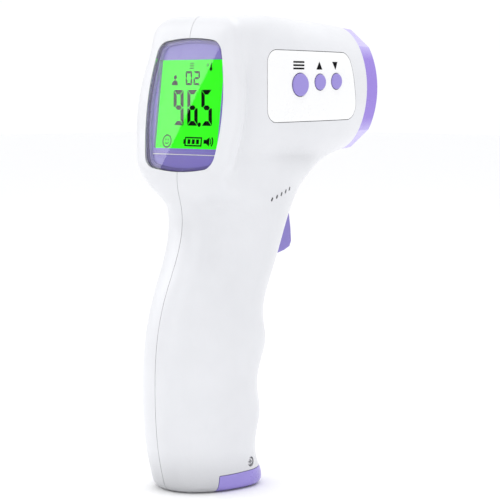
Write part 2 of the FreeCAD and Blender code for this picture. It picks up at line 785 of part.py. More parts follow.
round_over(crystal_can, 1.2, lambda edge: edge.Length < 2.01 and len(edge.Vertexes) == 2)


def joined(name, pieces):
    """Several identical loose pieces that share one name."""
    item = doc.addObject("Part::Compound", name)
    item.Links = pieces
    return item


def screw(name, head_radius, head, shank_radius, shank, base, **turn):
    """Pan-head screw with a cross recess, its head's underside at the base, pointing along its own -Z."""
    body = turned(name, [(0, -shank), (shank_radius - 0.3, -shank), (shank_radius, 0.5 - shank), (shank_radius, 0),
                         (head_radius, 0), (head_radius, head - 0.4), (head_radius - 0.5, head), (0, head)],
                  base, **turn)
    arm = head_radius * 1.1
    pocket(body, name + "_cross", [rectangle(0, 0, arm, 0.5)], 0.8, offset=head - 0.7)
    pocket(body, name + "_cross_b", [rectangle(0, 0, 0.5, arm)], 0.8, offset=head - 0.7)
    return body


board_screws = joined("board_screws", [
    screw(f"board_screw_{k}", 1.6, 1.1, 0.8, 4.4, on_screen(x, board_back + 0.02, z),
          axis=(1, 0, 0), angle=-90 - S.screen_tilt)
    for k, (x, z, _) in enumerate(board_holes)])


# ---------------------------------------------------------------- control panel, buttons and their switches

panel_plate = prism_along_x("panel_plate", shrunk(PANEL, 0.22), 5.0, 30.0, PANEL_CORNER - 0.2)
panel_holes = [cylinder(f"{name}_window", getattr(S, radius) + 0.22, 20,
                        (10, y, S.button_height + rise), **ALONG_X)
               for name, (y, rise, radius) in BUTTONS.items()]
panel_skin = cut("panel_skin", common("panel_form", panel_plate, outer_half), panel_floor)
control_panel = cut("control_panel", panel_skin, fuse("panel_ways", *panel_holes))

BUTTON_TOPS = {"set": 20.15, "up": 19.85, "down": 19.35}
STEM_END = 12.9
switches = []
for name, (y, rise, radius_name) in BUTTONS.items():
    radius = getattr(S, radius_name)
    z = S.button_height + rise
    top = BUTTON_TOPS[name] - STEM_END
    button = turned(f"{name}_button", [(0, 0), (1.5, 0), (1.5, 1.7), (radius + 0.9, 1.7), (radius + 0.9, 2.7),
                                       (radius, 2.7), (radius, top), (0, top)], (STEM_END, y, z), **ALONG_X)
    round_over(button, 0.55, lambda edge: abs(edge.BoundBox.ZMin - edge.BoundBox.ZMax) > 1 and
               abs(edge.BoundBox.XMin - BUTTON_TOPS[name]) < 0.01 and
               abs(edge.BoundBox.XMax - BUTTON_TOPS[name]) < 0.01)
    turned(f"{name}_plunger", [(0, 0), (1.2, 0), (1.2, 1.28), (0, 1.28)], (STEM_END - 1.3, y, z), **ALONG_X)
    switch = plate(f"{name}_switch", [rectangle(0, 0, 6, 6)], 1.58, (S.key_board_side + 0.02, y, z), **ALONG_X)
    pocket(switch, f"{name}_switch_way", [(0, 0, 1.45)], 3, offset=0.3)

key_board = plate("key_board", [rectangle(34.0, 131.0, 30.0, 14.0)], S.board_thick,
                  (S.key_board_side - S.board_thick, 0, 0), axis=(1, 1, 1), angle=120)
keypad_ribbon = box("keypad_ribbon", (0.3, 12.6, 6), (9.6, 6.3, 127.2))


# ---------------------------------------------------------------- trigger

trigger = plate("trigger", [[(35.3, 88.9), (27.2, 89.0), (24.9, 87.4), (25.0, 80.0), (25.0, 78.0), (25.0, 74.3),
                             (29.5, 74.25), (33.1, 75.1), (35.8, 76.3), (36.6, 78.2), (36.3, 82.5)],
                            (S.pivot_y, S.pivot_z, S.pin_radius + 0.05)], S.trigger_half_width * 2,
                (-S.trigger_half_width, 0, 0), axis=(1, 1, 1), angle=120)
round_over(trigger, 0.9, lambda edge: edge.BoundBox.YMin > 28 and edge.BoundBox.YMax > 33
           and edge.BoundBox.XMax - edge.BoundBox.XMin < 0.01)
pocket(trigger, "spring_room", [rectangle(27.0, 87.2, 7.4, 7.8)], 4.6, offset=S.trigger_half_width - 2.3)
trigger_pin = cylinder("trigger_pin", S.pin_radius, 14.8, (-7.4, S.pivot_y, S.pivot_z), **ALONG_X)
coil = [ring(f"trigger_coil_{k}", 1.75, 0.36, (-1.4 + 0.7 * k, S.pivot_y, S.pivot_z), **ALONG_X)
        for k in range(5)]
leg_back = cylinder("spring_leg_back", 0.34, 6.0, (-1.4, S.pivot_y - 1.0, S.pivot_z + 1.5),
                    axis=(1, 0, 0), angle=80)
leg_front = cylinder("spring_leg_front", 0.34, 2.7, (1.4, S.pivot_y + 1.7, S.pivot_z),
                     axis=(1, 0, 0), angle=180)
trigger_spring = fuse("trigger_spring", leg_back, leg_front, *coil)

switch_z = 77.6
trigger_switch = plate("trigger_switch", [rectangle(0, 0, 6.4, 7.0)], 9.4, (0, 13.55, switch_z), **ALONG_Y)
pocket(trigger_switch, "switch_way", [(0, 0, 1.15)], 9, offset=4.6)
switch_plunger = turned("switch_plunger", [(0, 0), (1.05, 0), (1.05, 4.6), (0.7, 5.0), (0, 5.0)],
                        (0, 19.75, switch_z), **ALONG_Y)
switch_board = box("switch_board", (17.0, S.board_thick, 16), (-8.5, 11.9, 70))


# ---------------------------------------------------------------- speaker

speaker = turned("speaker", [(0, 0), (3.4, 0), (3.4, 1.2), (S.speaker_radius, 1.2), (S.speaker_radius, 2.6),
                             (S.speaker_radius - 0.6, 3.2), (S.speaker_radius - 1.3, 2.6), (2.4, 2.2), (1.6, 2.8),
                             (0, 3.0)], (10.3, S.speaker_y, S.speaker_z), **ALONG_X)


# ---------------------------------------------------------------- nose and infrared sensor

def flat_row(y, inset, count=40):
    return row_of_points((y, TURN_Z), (0.0, 1.0), inset, count)


def nose_slice(low, high, inset):
    """The casing form shrunk by inset, between two upright planes, on both sides."""
    rows = [flat_row(low + (high - low) * k / 3, inset) for k in range(4)]
    half = half_solid(rows)
    return half.fuse(half.mirror(Vector(), Vector(1, 0, 0))).removeSplitter()


NOSE_ROW = flat_row(NOSE, 0.15, 60)
FACET_HEIGHTS = (108.6, 114.2, 143.8, 150.1)


def ring_wire(y, wide, tall):
    """Oval outline of the nose with four flat facets at its corners, scaled about the nose axis."""
    axis = SIZES["nose_axis"]
    points = [Vector(p.x * wide, y, axis + (p.z - axis) * tall) for p in NOSE_ROW]
    low, low_side, high_side, high = [axis + (z - axis) * tall for z in FACET_HEIGHTS]
    bottom = [p for p in points if p.z <= low]
    side = [p for p in points if low_side <= p.z <= high_side]
    top = [p for p in points if p.z >= high]

    def flipped(run):
        return [Vector(-p.x, p.y, p.z) for p in reversed(run)]

    runs = [flipped(bottom)[:-1] + bottom, side, top + flipped(top)[1:], flipped(side)]
    edges = []
    for k, run in enumerate(runs):
        curve = Part.BSplineCurve()
        curve.interpolate(run)
        edges.append(curve.toShape())
        edges.append(Part.makeLine(run[-1], runs[(k + 1) % 4][0]))
    return Part.Wire(edges)


def oval_block(scale, low, high):
    return Part.Face(ring_wire(low, scale, scale)).extrude(Vector(0, high - low, 0))


RING_FRONT = NOSE + SIZES["ring_length"]


def nose_ring_shape():
    """Tapered ring with a bevelled front edge, a spigot that enters the casing, and an oval opening."""
    wires = [ring_wire(NOSE + 0.12, 1.0, 1.0), ring_wire(RING_FRONT - 1.1, 0.985, 0.975),
             ring_wire(RING_FRONT, 0.93, 0.92)]
    outside = Part.makeLoft(wires, True, True)
    spigot = nose_slice(NOSE - 4.5, NOSE + 0.5, WALL + 0.2)
    return outside.fuse(spigot).cut(oval_block(0.74, NOSE - 6, RING_FRONT + 1)).removeSplitter()


nose_ring = feature("nose_ring", nose_ring_shape())
FACE = RING_FRONT - 1.5
funnel_plate = feature("funnel_plate", oval_block(0.728, NOSE - 1, FACE))
funnel_hub = cylinder("funnel_hub", 10.5, NOSE - 55.0, (0, 55.0, S.nose_axis), **ALONG_Y)
funnel_cone = doc.addObject("Part::Cone", "funnel_cone")
bind(funnel_cone, "Radius1", 3.9)
bind(funnel_cone, "Radius2", S.funnel_radius)
bind(funnel_cone, "Height", FACE + 0.01 - 57.0)
place(funnel_cone, (0, 57.0, S.nose_axis), **ALONG_Y)
funnel_seat = cylinder("funnel_seat", S.barrel_radius + 0.05, 2.1, (0, 54.9, S.nose_axis), **ALONG_Y)
nose_cone = cut("nose_cone", fuse("funnel_form", funnel_plate, funnel_hub),
                fuse("funnel_ways", funnel_cone, funnel_seat))

sensor_barrel = turned("sensor_barrel", [(4.75, 0), (S.barrel_radius, 0), (S.barrel_radius, 14.2), (3.9, 14.2),
                                         (3.9, 10.4), (4.75, 10.4)], (0, 42.6, S.nose_axis), **ALONG_Y)
thermopile_body = turned("thermopile_body", [(0, 0), (S.sensor_radius, 0), (S.sensor_radius, 0.8), (4.1, 0.8),
                                             (4.1, 6.0), (2.4, 6.0), (2.4, 5.4), (0, 5.4)],
                         (0, 46.2, S.nose_axis), **ALONG_Y)
LEADS = [(1.8 * math.cos(math.pi / 4 + k * math.pi / 2), 1.8 * math.sin(math.pi / 4 + k * math.pi / 2))
         for k in range(4)]
sensor_legs = [cylinder(f"sensor_leg_{k}", 0.25, 5.6, (x, 40.65, S.nose_axis + z), **ALONG_Y)
               for k, (x, z) in enumerate(LEADS)]
thermopile_can = fuse("thermopile_can", thermopile_body, *sensor_legs)
thermopile_window = cylinder("thermopile_window", 2.35, 0.5, (0, 51.62, S.nose_axis), **ALONG_Y)
sensor_board = plate("sensor_board", [(0, 0, 8.6)] + [(x, -z, 0.32) for x, z in LEADS], 1.4,
                     (0, 41.1, S.nose_axis), **ALONG_Y)
bulkhead_slab = feature("bulkhead_slab", nose_slice(51.4, 53.2, WALL + 0.15))
bulkhead_way = cylinder("bulkhead_way", S.barrel_radius + 0.1, 4, (0, 50.5, S.nose_axis), **ALONG_Y)
sensor_bulkhead = cut("sensor_bulkhead", bulkhead_slab, bulkhead_way)


# ---------------------------------------------------------------- power

CELL_Y = -1.0
CELL_LOW = 9.2
TRAY_LOW = 9.3
battery_tray = plate("battery_tray", [rectangle(0, CELL_Y, 24.4, 12.6)], 47.3, (0, 0, TRAY_LOW))
round_over(battery_tray, 4.0, lambda edge: abs(edge.BoundBox.ZMax - edge.BoundBox.ZMin - 47.3) < 0.01)
pocket(battery_tray, "cell_ways", [(-S.cell_side, CELL_Y, S.cell_radius + 0.2),
                                   (S.cell_side, CELL_Y, S.cell_radius + 0.2)], 46.1)
pocket(battery_tray, "tab_slots", [rectangle(-S.cell_side, CELL_Y, 2.2, 0.9),
                                   rectangle(S.cell_side, CELL_Y, 2.2, 0.9)], 3.0, offset=45.1)

cell_profile = [(0, 0), (S.cell_radius, 0), (S.cell_radius, S.cell_length - 1.0), (1.9, S.cell_length - 1.0),
                (1.9, S.cell_length), (0, S.cell_length)]
cell_left = turned("battery_cell_left", cell_profile, (-S.cell_side, CELL_Y, CELL_LOW))
cell_right = turned("battery_cell_right", cell_profile, (S.cell_side, CELL_Y, CELL_LOW + S.cell_length),
                    axis=(1, 0, 0), angle=180)
for cell in (cell_left, cell_right):
    round_over(cell, 0.5, lambda edge: edge.Length > 30)


def flat_spring(name, x, z, height):
    """Pressed conical spring: a short stack of rings that narrows towards the cell."""
    return [ring(f"{name}_{k}", 3.4 - 0.3 * k, 0.3, (x, CELL_Y, z + height * (0.28 + 0.44 * k)))
            for k in range(2)]


cells_top = CELL_LOW + SIZES["cell_length"]


def top_contact(name, x, pieces):
    leaf = box(name + "_leaf", (8.4, 7.0, 0.4), (x - 4.2, CELL_Y - 3.5, cells_top + 1.18))
    tab = box(name + "_tab", (1.8, 0.4, 3.6), (x - 0.9, CELL_Y - 0.2, cells_top + 1.4))
    return fuse(name, leaf, tab, *pieces)


contact_plus = top_contact("contact_plus", -S.cell_side,
                           [cylinder("plus_bump", 2.0, 1.2, (-S.cell_side, CELL_Y, cells_top + 0.04))])
contact_spring = top_contact("contact_spring", S.cell_side,
                             flat_spring("top_spring", S.cell_side, cells_top + 0.1, 1.0))
door_contact = fuse("door_contact", box("door_leaf", (19.0, 7.0, 0.5), (-9.5, CELL_Y - 3.5, 7.72)),
                    cylinder("door_bump", 2.0, 1.0, (S.cell_side, CELL_Y, 8.16)),
                    *flat_spring("door_spring", -S.cell_side, 8.15, 0.95))

door_block = prism_along_x("door_block", shrunk(DOOR, GAP), -30.0, 30.0, 0.3)
door_half = cut("door_half", common("door_form", outer_half, door_block), inner_half)
tongue = box("door_tongue", (0.9, 4.2, 11.2), (11.3, S.lock_y - 2.15, 1.4))
tongue_slot = fuse("tongue_slot", box("slot_straight", (3, 2.5, 6), (10.4, S.lock_y - 1.25, S.lock_z)),
                   cylinder("slot_round", 1.25, 3, (10.4, S.lock_y, S.lock_z), **ALONG_X))
cell_pad = box("cell_pad", (18.0, 6.0, 6.3), (-9.0, CELL_Y - 3.0, 1.4))
battery_door = fuse("battery_door", door_half, mirrored("door_side", door_half),
                    cut("slotted_tongue", tongue, tongue_slot), cell_pad)

door_lock_screw = screw("door_lock_screw", 1.5, 1.2, 0.95, 4.6, (13.92, S.lock_y, S.lock_z), **ALONG_X)
lock_insert = turned("lock_insert", [(1.0, 0), (1.8, 0), (1.8, 1.6), (1.0, 1.6)],
                     (9.6, S.lock_y, S.lock_z), **ALONG_X)
casing_screws = joined("casing_screws", [
    screw(f"casing_screw_{k}", 2.1, 1.4, S.screw_radius, 13.0, (-6.02, y, z), axis=(0, 1, 0), angle=-90)
    for k, (y, z) in enumerate(SCREW_POSTS)])


# ---------------------------------------------------------------- internal leads

def lead(name, points):
    """Round wire along straight runs joined by tangent arcs."""
    points = [Vector(*p) for p in points]
    edges = []
    start = points[0]
    for k in range(1, len(points) - 1):
        before, after = points[k] - points[k - 1], points[k + 1] - points[k]
        turn = before.getAngle(after)
        back = 0.45 * min(before.Length, after.Length)
        first = points[k] - before.normalize() * back
        last = points[k] + after.normalize() * back
        radius = back / math.tan(turn / 2)
        towards = (last + first) * 0.5 - points[k]
        center = points[k] + towards.normalize() * math.hypot(radius, back)
        middle = center + (points[k] - center).normalize() * radius
        edges.append(Part.makeLine(start, first))
        edges.append(Part.Arc(first, middle, last).toShape())
        start = last
    edges.append(Part.makeLine(start, points[-1]))
    path = Part.Wire(edges)
    tangent = points[1] - points[0]
    circle = Part.Wire(Part.makeCircle(SIZES["lead_radius"], points[0], tangent))
    tube = path.makePipeShell([circle], True, False)
    return feature(name, tube)


back_y, back_z = [amount.value for amount in on_screen(0, board_back, -17.0)[1:]]
tab_top = cells_top + 5.05
for name, side in (("battery_lead_plus", -1), ("battery_lead_minus", 1)):
    x = side * SIZES["cell_side"]
    lead(name, [(x, CELL_Y, tab_top), (x, CELL_Y, 70.0), (x * 0.9, 1.4, 84.0), (x * 0.8, 4.6, 96.0),
                (x * 0.8, 4.9, 103.4), (x * 0.8, back_y + 0.5, back_z)])
lead("speaker_lead", [(9.5, 18.4, 93.8), (8.4, 15.0, 96.6), (6.2, 10.4, 99.6), (3.0, 5.6, 102.4),
                      (1.8, back_y + 0.5, back_z)])
lead("switch_lead", [(0, 11.3, 82.0), (0, 8.8, 86.5), (-0.5, 6.6, 92.0), (-1.4, 5.4, 99.0),
                     (-1.6, back_y + 0.5, back_z)])
port_y, port_z = [amount.value for amount in on_screen(0, board_back, -9.0)[1:]]
lead("sensor_cable", [(0, 41.0, 122.4), (0, 33.0, 120.4), (-0.6, 24.0, 119.6), (-1.0, 15.0, 118.6),
                      (-1.0, 8.0, 116.2), (-1.0, port_y + 0.5, port_z)])


# ---------------------------------------------------------------- checks and files

NODES = [
    "left_casing", "right_casing", "casing_screws", "nose_ring", "nose_cone", "sensor_barrel", "thermopile_can",
    "thermopile_window", "sensor_board", "sensor_bulkhead", "display_lens", "lens_gasket", "display_bezel",
    "lcd_glass", "backlight_plate", "zebra_strip", "main_board", "processor_chip", "memory_chip", "crystal_can",
    "ribbon_socket", "board_screws", "control_panel", "set_button", "up_button", "down_button", "set_plunger",
    "up_plunger", "down_plunger", "set_switch", "up_switch", "down_switch", "key_board", "keypad_ribbon",
    "trigger", "trigger_pin", "trigger_spring", "trigger_switch", "switch_plunger", "switch_board", "speaker",
    "battery_tray", "battery_cell_left", "battery_cell_right", "contact_plus", "contact_spring", "door_contact",
    "battery_door", "door_lock_screw", "lock_insert", "battery_lead_plus", "battery_lead_minus", "speaker_lead",
    "switch_lead", "sensor_cable",
]

doc.recompute()
for item in doc.Objects:
    if "Invalid" in item.State or "Error" in item.State:
        raise RuntimeError(f"{item.Name} failed: {item.State}")

os.makedirs("parts", exist_ok=True)
for node in NODES:
    item = doc.getObject(node)
    item.Label = node
    if item.Shape.isNull() or not item.Shape.isValid():
        raise RuntimeError(f"{node} has no valid shape")
    item.Shape.exportStep(f"parts/{node}.step")
    size = item.Shape.BoundBox
    print(f"{node}: {len(item.Shape.Solids)} solid, {item.Shape.Volume:.1f} mm3, "
          f"{size.XLength:.1f} x {size.YLength:.1f} x {size.ZLength:.1f} mm")
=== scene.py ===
"""Looks of the pistol-grip infrared thermometer: materials, display symbols, key marks and studio."""
import json
import math
import bmesh
import bpy
from mathutils import Matrix, Vector
from mathutils.bvhtree import BVHTree


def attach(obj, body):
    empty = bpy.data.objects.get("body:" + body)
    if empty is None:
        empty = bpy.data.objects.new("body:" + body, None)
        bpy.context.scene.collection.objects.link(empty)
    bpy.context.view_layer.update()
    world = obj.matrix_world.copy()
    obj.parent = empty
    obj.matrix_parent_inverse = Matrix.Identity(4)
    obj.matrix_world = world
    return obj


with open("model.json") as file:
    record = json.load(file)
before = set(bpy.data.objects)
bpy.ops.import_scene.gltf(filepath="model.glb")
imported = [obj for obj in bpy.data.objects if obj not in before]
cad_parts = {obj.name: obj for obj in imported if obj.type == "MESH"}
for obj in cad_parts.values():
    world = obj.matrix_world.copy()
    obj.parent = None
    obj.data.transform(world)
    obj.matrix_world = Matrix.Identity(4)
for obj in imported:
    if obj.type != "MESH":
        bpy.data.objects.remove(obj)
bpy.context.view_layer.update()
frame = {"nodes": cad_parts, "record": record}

nodes = frame["nodes"]
MM = 0.001
# How far the painted shade of broad hollows reaches.
HOLLOW_SHADE_REACH = 14 * MM


# ---------------------------------------------------------------- material tools

def linear(red, green, blue):
    """Linear colour of an 8-bit display colour."""
    def one(value):
        value /= 255
        return value / 12.92 if value <= 0.04045 else ((value + 0.055) / 1.055) ** 2.4
    return (one(red), one(green), one(blue), 1.0)


class Look:
    """A material and a short way to add and join its nodes."""

    def __init__(self, name):
        self.material = bpy.data.materials.new(name)
        self.material.use_nodes = True
        self.tree = self.material.node_tree
        self.shader = self.tree.nodes["Principled BSDF"]
        self.place = self.add("ShaderNodeTexCoord").outputs["Object"]

    def add(self, kind, **values):
        node = self.tree.nodes.new(kind)
        for name, value in values.items():
            setattr(node, name, value)
        return node

    def join(self, out, socket):
        self.tree.links.new(out, socket)

    def set(self, **values):
        for name, value in values.items():
            self.shader.inputs[name.replace("_", " ")].default_value = value

    def noise(self, scale, detail=4.0, rough=0.5, stretch=None):
        node = self.add("ShaderNodeTexNoise")
        node.inputs["Scale"].default_value = scale
        node.inputs["Detail"].default_value = detail
        node.inputs["Roughness"].default_value = rough
        source = self.place
        if stretch:
            mapping = self.add("ShaderNodeMapping")
            mapping.inputs["Scale"].default_value = stretch
            self.join(source, mapping.inputs["Vector"])
            source = mapping.outputs["Vector"]
        self.join(source, node.inputs["Vector"])
        return node.outputs["Fac"]

    def spread(self, value, low, high, start=0.35, end=0.65):
        """Map start..end of a value to low..high."""
        node = self.add("ShaderNodeMapRange")
        for name, number in (("From Min", start), ("From Max", end), ("To Min", low), ("To Max", high)):
            node.inputs[name].default_value = number
        self.join(value, node.inputs["Value"])
        return node.outputs["Result"]

    def mix(self, factor, first, second, blend="MIX"):
        node = self.add("ShaderNodeMix", data_type="RGBA", blend_type=blend)
        for socket, value in ((node.inputs[0], factor), (node.inputs[6], first), (node.inputs[7], second)):
            if isinstance(value, (tuple, float, int)):
                socket.default_value = value
            else:
                self.join(value, socket)
        return node.outputs[2]

    def bump(self, height, distance, strength=0.5, under=None):
        node = self.add("ShaderNodeBump")
        node.inputs["Distance"].default_value = distance
        node.inputs["Strength"].default_value = strength
        self.join(height, node.inputs["Height"])
        if under:
            self.join(under, node.inputs["Normal"])
        return node.outputs["Normal"]

    def crevice(self, distance, samples=6):
        """0 deep in a seam or corner, 1 on open surface."""
        node = self.add("ShaderNodeAmbientOcclusion", samples=samples)
        node.inputs["Distance"].default_value = distance
        return node.outputs["AO"]


def moulded(name, color, rough=0.34, grain=2600.0, depth=0.00001, tint=0.05, seam=0.0012, seam_shade=0.45,
            hollow_shade=0.0, filled=0.25):
    """Injection-moulded plastic: spark-eroded grain, slight flow variation, and painted shade in its seams
    and broad hollows.

    seam is how wide a gap counts as a seam, filled how shut it is before its painted shade is full,
    seam_shade how dark the painted seam shade is, and hollow_shade how much darker the painted shade makes
    the broad hollows.
    """
    look = Look(name)
    flow = look.noise(38.0, 3.0, 0.6)
    darker = tuple(channel * (1 - tint) for channel in color[:3]) + (1.0,)
    base = look.mix(look.spread(flow, 0.0, 1.0), color, darker)
    # Painted shade: seams and tight corners, found by ambient occlusion, darken towards a shaded copy of the
    # colour.
    seam_shade_color = tuple(channel * (1 - seam_shade) for channel in color[:3]) + (1.0,)
    seam_shade_mask = look.spread(look.crevice(seam), 1.0, 0.0, filled, 0.85)
    with_painted_shade = look.mix(seam_shade_mask, base, seam_shade_color)
    # Painted shade: broad hollows, found by a long occlusion reach, darken towards a shaded copy of the
    # colour.
    if hollow_shade:
        hollow_shade_color = tuple(channel * (1 - hollow_shade) for channel in color[:3]) + (1.0,)
        with_painted_shade = look.mix(look.spread(look.crevice(HOLLOW_SHADE_REACH), 1.0, 0.0, 0.4, 0.98), with_painted_shade, hollow_shade_color)
    look.join(with_painted_shade, look.shader.inputs["Base Color"])
    handled = look.noise(95.0, 5.0, 0.65)
    look.join(look.spread(handled, rough - 0.05, rough + 0.07), look.shader.inputs["Roughness"])
    fine = look.noise(grain, 2.0, 0.5)
    broad = look.noise(210.0, 2.0, 0.4)
    first = look.bump(broad, depth * 2, 0.25)
    look.join(look.bump(fine, depth, 0.5, first), look.shader.inputs["Normal"])
    look.set(IOR=1.5)
    return look


def ring_with_painted_sheen(name, sheen_color, deep):
    """Moulded ring painted lighter on faces turned up or down and deeper on its upright sides: painted sheen
    and painted shade by tilt.
    """
    look = moulded(name, sheen_color, rough=0.28, tint=0.03, seam_shade=0.3)
    # Painted sheen and shade: the colour is chosen by how far each face tilts up or down.
    normal = look.add("ShaderNodeSeparateXYZ")
    look.join(look.add("ShaderNodeNewGeometry").outputs["Normal"], normal.inputs["Vector"])
    lean = look.add("ShaderNodeMath", operation="ABSOLUTE")
    look.join(normal.outputs["Z"], lean.inputs[0])
    upright = look.spread(lean.outputs["Value"], 1.0, 0.0, 0.35, 0.6)
    plain = look.shader.inputs["Base Color"].links[0].from_socket
    look.join(look.mix(upright, plain, deep), look.shader.inputs["Base Color"])
    return look


def metal(name, color, rough=0.28, stretch=(1.0, 1.0, 14.0), scale=900.0):
    """Drawn or turned metal: fine lines one way, and a faint tarnish."""
    look = Look(name)
    tarnish = look.noise(160.0, 4.0, 0.6)
    dull = tuple(channel * 0.78 for channel in color[:3]) + (1.0,)
    look.join(look.mix(look.spread(tarnish, 0.0, 1.0), color, dull), look.shader.inputs["Base Color"])
    lines = look.noise(scale, 3.0, 0.5, stretch)
    look.join(look.spread(lines, rough - 0.08, rough + 0.12), look.shader.inputs["Roughness"])
    look.join(look.bump(lines, 0.000006, 0.4), look.shader.inputs["Normal"])
    look.set(Metallic=1.0)
    return look


def matte(name, color, rough=0.6, scale=1200.0, depth=0.00001):
    """Matte surface with a fine tooth, for wire sleeves, chips, foam and inner mouldings."""
    look = Look(name)
    patch = look.noise(120.0, 4.0, 0.6)
    darker = tuple(channel * 0.8 for channel in color[:3]) + (1.0,)
    look.join(look.mix(look.spread(patch, 0.0, 1.0), color, darker), look.shader.inputs["Base Color"])
    tooth = look.noise(scale, 3.0, 0.6)
    look.join(look.spread(tooth, rough - 0.08, rough + 0.08), look.shader.inputs["Roughness"])
    look.join(look.bump(tooth, depth, 0.5), look.shader.inputs["Normal"])
    return look


def circuit(name):
    """Green solder mask over copper: lighter tracks in square runs."""
    look = Look(name)
    track = look.add("ShaderNodeTexBrick", offset=0.5, squash=1.0)
    for socket, value in (("Scale", 260.0), ("Mortar Size", 0.09), ("Brick Width", 1.4), ("Row Height", 0.5)):
        track.inputs[socket].default_value = value
    track.inputs["Color1"].default_value = linear(14, 84, 46)
    track.inputs["Color2"].default_value = linear(12, 76, 42)
    track.inputs["Mortar"].default_value = linear(44, 132, 70)
    look.join(look.place, track.inputs["Vector"])
    look.join(track.outputs["Color"], look.shader.inputs["Base Color"])
    look.join(look.bump(track.outputs["Fac"], 0.00002, 0.4), look.shader.inputs["Normal"])
    look.join(look.spread(look.noise(300.0), 0.26, 0.4), look.shader.inputs["Roughness"])
    return look


def clear_plastic(name):
    """Polished clear cover with hair-fine wiping marks."""
    look = Look(name)
    look.set(Base_Color=(1.0, 1.0, 1.0, 1.0), IOR=1.33, Transmission_Weight=1.0)
    wiping = look.noise(700.0, 4.0, 0.7, (1.0, 1.0, 0.12))
    look.join(look.spread(wiping, 0.0, 0.01), look.shader.inputs["Roughness"])
    return look


def lit_display(name, color, strength):
    """Backlit liquid-crystal glass: an even glow with slight cloudiness."""
    look = Look(name)
    cloud = look.noise(26.0, 2.0, 0.5)
    dim = tuple(channel * 0.86 for channel in color[:3]) + (1.0,)
    glow = look.mix(look.spread(cloud, 0.0, 1.0, 0.3, 0.7), color, dim)
    look.join(look.mix(0.8, glow, (0.0, 0.01, 0.0, 1.0)), look.shader.inputs["Base Color"])
    look.join(glow, look.shader.inputs["Emission Color"])
    look.set(Emission_Strength=strength, Specular_IOR_Level=0.15)
    look.join(look.spread(look.noise(1500.0), 0.3, 0.42), look.shader.inputs["Roughness"])
    return look


BAND_HEIGHT = 39.6 * MM


def sleeve(name):
    """Battery sleeve: green below the band height and gold above it, slightly mottled."""
    look = Look(name)
    split = look.add("ShaderNodeSeparateXYZ")
    look.join(look.place, split.inputs["Vector"])
    low = look.spread(split.outputs["Z"], 0.0, 1.0, BAND_HEIGHT - 0.1 * MM, BAND_HEIGHT + 0.1 * MM)
    body = look.mix(low, linear(38, 120, 84), linear(178, 150, 92))
    patch = look.spread(look.noise(60.0), 0.0, 0.2)
    look.join(look.mix(patch, body, (0.02, 0.02, 0.02, 1.0)), look.shader.inputs["Base Color"])
    look.join(look.spread(look.noise(500.0), 0.2, 0.34), look.shader.inputs["Roughness"])
    look.set(Metallic=0.55)
    return look


def printed(name, color, rough=0.5):
    """Screen-printed or liquid-crystal ink: slightly uneven cover."""
    look = Look(name)
    patch = look.noise(900.0, 4.0, 0.7)
    lighter = tuple(channel + 0.012 for channel in color[:3]) + (1.0,)
    look.join(look.mix(look.spread(patch, 0.0, 1.0), color, lighter), look.shader.inputs["Base Color"])
    look.join(look.spread(patch, rough - 0.06, rough + 0.06), look.shader.inputs["Roughness"])
    look.set(Specular_IOR_Level=0.0)
    return look


WHITE = (0.745, 0.75, 0.775, 1.0)
LILAC = linear(152, 138, 212)
LOOKS = {
    # The white shell carries strong painted shade in its seams and broad hollows.
    "white_shell": moulded("white_shell", WHITE, rough=0.33, seam=0.002, seam_shade=0.95, hollow_shade=0.34, filled=0.5),
    "lilac_plastic": moulded("lilac_plastic", LILAC, rough=0.3, tint=0.04, seam_shade=0.4),
    "bezel_plastic": moulded("bezel_plastic", linear(150, 136, 226), rough=0.24, tint=0.03, seam_shade=0.35,
                             seam=0.0008),
    "panel_white": moulded("panel_white", (0.9, 0.9, 0.9, 1.0), rough=0.3, tint=0.01, seam_shade=0.3, seam=0.0005),
    "clear_lens": clear_plastic("clear_lens"),
    # Painted shade: the gasket is given the purple of the lilac bezel in shade.
    "gasket": matte("gasket", (0.15, 0.12, 0.32, 1.0), 0.8),
    "lcd": lit_display("lcd", (0.03, 1.0, 0.006, 1.0), 1.0),
    "light_guide": matte("light_guide", (0.8, 0.9, 0.8, 1.0), 0.45),
    "elastomer": matte("elastomer", (0.16, 0.16, 0.18, 1.0), 0.7),
    "circuit_board": circuit("circuit_board"),
    "black_chip": matte("black_chip", (0.02, 0.02, 0.022, 1.0), 0.5),
    "steel": metal("steel", (0.56, 0.56, 0.58, 1.0), 0.3, (1.0, 1.0, 1.0)),
    "spring_steel": metal("spring_steel", (0.62, 0.62, 0.64, 1.0), 0.2),
    "brass": metal("brass", (0.72, 0.52, 0.22, 1.0), 0.26, (1.0, 18.0, 1.0)),
    "dark_plastic": moulded("dark_plastic", (0.035, 0.034, 0.04, 1.0), rough=0.42, seam_shade=0.2),
    "switch_plastic": matte("switch_plastic", (0.03, 0.03, 0.033, 1.0), 0.5),
    "plunger_plastic": matte("plunger_plastic", (0.75, 0.74, 0.68, 1.0), 0.45),
    "ribbon": matte("ribbon", (0.66, 0.58, 0.34, 1.0), 0.4),
    "frame_plastic": moulded("frame_plastic", (0.07, 0.07, 0.08, 1.0), rough=0.4, seam_shade=0.3),
    "cell_can": sleeve("cell_can"),
    "red_wire": matte("red_wire", (0.5, 0.02, 0.015, 1.0), 0.42),
    "black_wire": matte("black_wire", (0.015, 0.015, 0.015, 1.0), 0.42),
    "grey_wire": matte("grey_wire", (0.24, 0.24, 0.26, 1.0), 0.42),
    "filter_glass": metal("filter_glass", (0.2, 0.17, 0.26, 1.0), 0.08, (1.0, 1.0, 1.0)),
}
INK = printed("print_ink", (0.004, 0.004, 0.005, 1.0))

